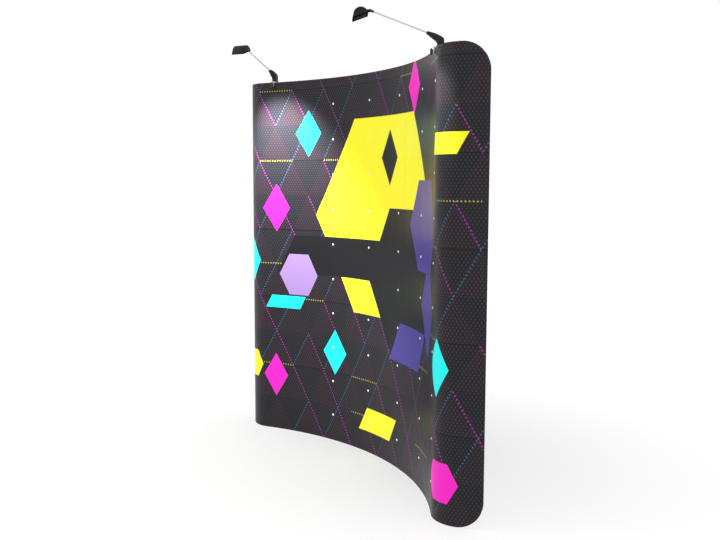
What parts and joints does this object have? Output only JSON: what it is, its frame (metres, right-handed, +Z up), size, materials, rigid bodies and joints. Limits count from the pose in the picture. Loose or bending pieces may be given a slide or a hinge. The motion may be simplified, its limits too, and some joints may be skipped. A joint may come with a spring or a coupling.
{
  "type": "pop up display backwall",
  "caption": "Curved pop-up display backwall: flexible print panels and rolled end caps on a scissor lattice of tubes and hubs, with clamp-on lamps along the top.",
  "frame": {"origin": "on the floor, under the middle of the object's box: halfway along the wall in X, and halfway in Y between the rearmost hubs and the foremost lamp", "axes": "+Z up, +X along the wall to the visitor's right, +Y to the rear, so the visitor stands on the -Y side"},
  "size_m": [2.36, 0.7798, 2.4047],
  "materials": {
    "panel_print": "satin laminated print",
    "hub_plastic": "fine moulded grain",
    "tube_metal": "satin anodised",
    "pin_steel": "plain zinc",
    "bar_metal": "satin anodised",
    "magnet": "flexible magnet strip",
    "stud_white": "gloss white",
    "foot_rubber": "matt",
    "clamp_silver": "satin silver",
    "knob_grey": "fine moulded grain",
    "lamp_black": "satin black",
    "rod_grey": "satin pale grey",
    "head_grey": "fine texture dark grey",
    "bezel_black": "satin black",
    "reflector": "bright",
    "lens": "clear",
    "bulb": "frosted, unlit"
  },
  "bodies": {
    "wall": {"front_panel_left": "panel_print", "front_panel_middle": "panel_print", "front_panel_right": "panel_print", "end_cap_left": "panel_print", "end_cap_right": "panel_print", "hub_column_1": "hub_plastic", "hub_column_2": "hub_plastic", "hub_column_3": "hub_plastic", "hub_column_4": "hub_plastic", "bay_tubes_1": "tube_metal", "bay_tubes_2": "tube_metal", "bay_tubes_3": "tube_metal", "column_tubes_1": "tube_metal", "column_tubes_2": "tube_metal", "column_tubes_3": "tube_metal", "column_tubes_4": "tube_metal", "crossing_rivets": "pin_steel", "hub_pins": "pin_steel", "front_bars": "bar_metal", "cap_bars": "bar_metal", "bar_joiners": "hub_plastic", "cap_arms": "tube_metal", "cap_brackets": "hub_plastic", "magnet_strips": "magnet", "top_rails": "bar_metal", "stud_caps": "stud_white", "stud_washers": "pin_steel", "foot_stems": "hub_plastic", "foot_pads": "foot_rubber", "lamp_left_clamp": "clamp_silver", "lamp_right_clamp": "clamp_silver"},
    "lock_arm_1": {"lock_arm_1": "hub_plastic"},
    "lock_arm_2": {"lock_arm_2": "hub_plastic"},
    "lock_arm_3": {"lock_arm_3": "hub_plastic"},
    "lock_arm_4": {"lock_arm_4": "hub_plastic"},
    "lamp_left_pad": {"lamp_left_clamp_pad": "foot_rubber"},
    "lamp_left_screw": {"lamp_left_clamp_screw": "pin_steel", "lamp_left_clamp_knob": "knob_grey"},
    "lamp_left_arm": {"lamp_left_elbow": "lamp_black", "lamp_left_rod": "rod_grey", "lamp_left_rod_end": "lamp_black", "lamp_left_tilt_pin": "pin_steel"},
    "lamp_left_head": {"lamp_left_housing": "head_grey", "lamp_left_bezel": "bezel_black", "lamp_left_reflector": "reflector", "lamp_left_lens": "lens", "lamp_left_bulb": "bulb"},
    "lamp_right_pad": {"lamp_right_clamp_pad": "foot_rubber"},
    "lamp_right_screw": {"lamp_right_clamp_screw": "pin_steel", "lamp_right_clamp_knob": "knob_grey"},
    "lamp_right_arm": {"lamp_right_elbow": "lamp_black", "lamp_right_rod": "rod_grey", "lamp_right_rod_end": "lamp_black", "lamp_right_tilt_pin": "pin_steel"},
    "lamp_right_head": {"lamp_right_housing": "head_grey", "lamp_right_bezel": "bezel_black", "lamp_right_reflector": "reflector", "lamp_right_lens": "lens", "lamp_right_bulb": "bulb"}
  },
  "joints": [
    {"name": "lock_arm_1_lift", "type": "hinge", "parent": "wall", "child": "lock_arm_1", "pos_m": [-0.34979, 0.3434, 0.77167], "axis": [-0.9811, -0.1937, 0], "range_deg": [0, 70]},
    {"name": "lock_arm_2_lift", "type": "hinge", "parent": "wall", "child": "lock_arm_2", "pos_m": [0.34979, 0.3434, 0.77167], "axis": [-0.9811, 0.1937, 0], "range_deg": [0, 70]},
    {"name": "lock_arm_3_lift", "type": "hinge", "parent": "wall", "child": "lock_arm_3", "pos_m": [-0.34979, 0.3434, 1.46833], "axis": [-0.9811, -0.1937, 0], "range_deg": [0, 70]},
    {"name": "lock_arm_4_lift", "type": "hinge", "parent": "wall", "child": "lock_arm_4", "pos_m": [0.34979, 0.3434, 1.46833], "axis": [-0.9811, 0.1937, 0], "range_deg": [0, 70]},
    {"name": "lamp_left_pad_slide", "type": "slide", "parent": "wall", "child": "lamp_left_pad", "axis": [0.521, -0.8536, 0], "range_m": [0, 0.0025]},
    {"name": "lamp_left_knob_turn", "type": "hinge", "parent": "lamp_left_pad", "child": "lamp_left_screw", "pos_m": [-0.83414, -0.06146, 2.208], "axis": [0.521, -0.8536, 0], "range_deg": [0, 720]},
    {"name": "lamp_left_swivel", "type": "hinge", "parent": "wall", "child": "lamp_left_arm", "pos_m": [-0.86123, -0.01708, 2.245], "axis": [0, 0, 1], "range_deg": [-75, 75]},
    {"name": "lamp_left_tilt", "type": "hinge", "parent": "lamp_left_arm", "child": "lamp_left_head", "pos_m": [-0.68916, -0.29898, 2.39406], "axis": [0.8536, 0.521, 0], "range_deg": [-45, 60]},
    {"name": "lamp_right_pad_slide", "type": "slide", "parent": "wall", "child": "lamp_right_pad", "axis": [-0.521, -0.8536, 0], "range_m": [0, 0.0025]},
    {"name": "lamp_right_knob_turn", "type": "hinge", "parent": "lamp_right_pad", "child": "lamp_right_screw", "pos_m": [0.83414, -0.06146, 2.208], "axis": [-0.521, -0.8536, 0], "range_deg": [0, 720]},
    {"name": "lamp_right_swivel", "type": "hinge", "parent": "wall", "child": "lamp_right_arm", "pos_m": [0.86123, -0.01708, 2.245], "axis": [0, 0, 1], "range_deg": [-75, 75]},
    {"name": "lamp_right_tilt", "type": "hinge", "parent": "lamp_right_arm", "child": "lamp_right_head", "pos_m": [0.68916, -0.29898, 2.39406], "axis": [0.8536, -0.521, 0], "range_deg": [-45, 60]}
  ],
  "couplings": [
    {"joint": "lamp_left_pad_slide", "follows": "lamp_left_knob_turn", "m_per_rad": 0.00019894},
    {"joint": "lamp_right_pad_slide", "follows": "lamp_right_knob_turn", "m_per_rad": 0.00019894}
  ]
}
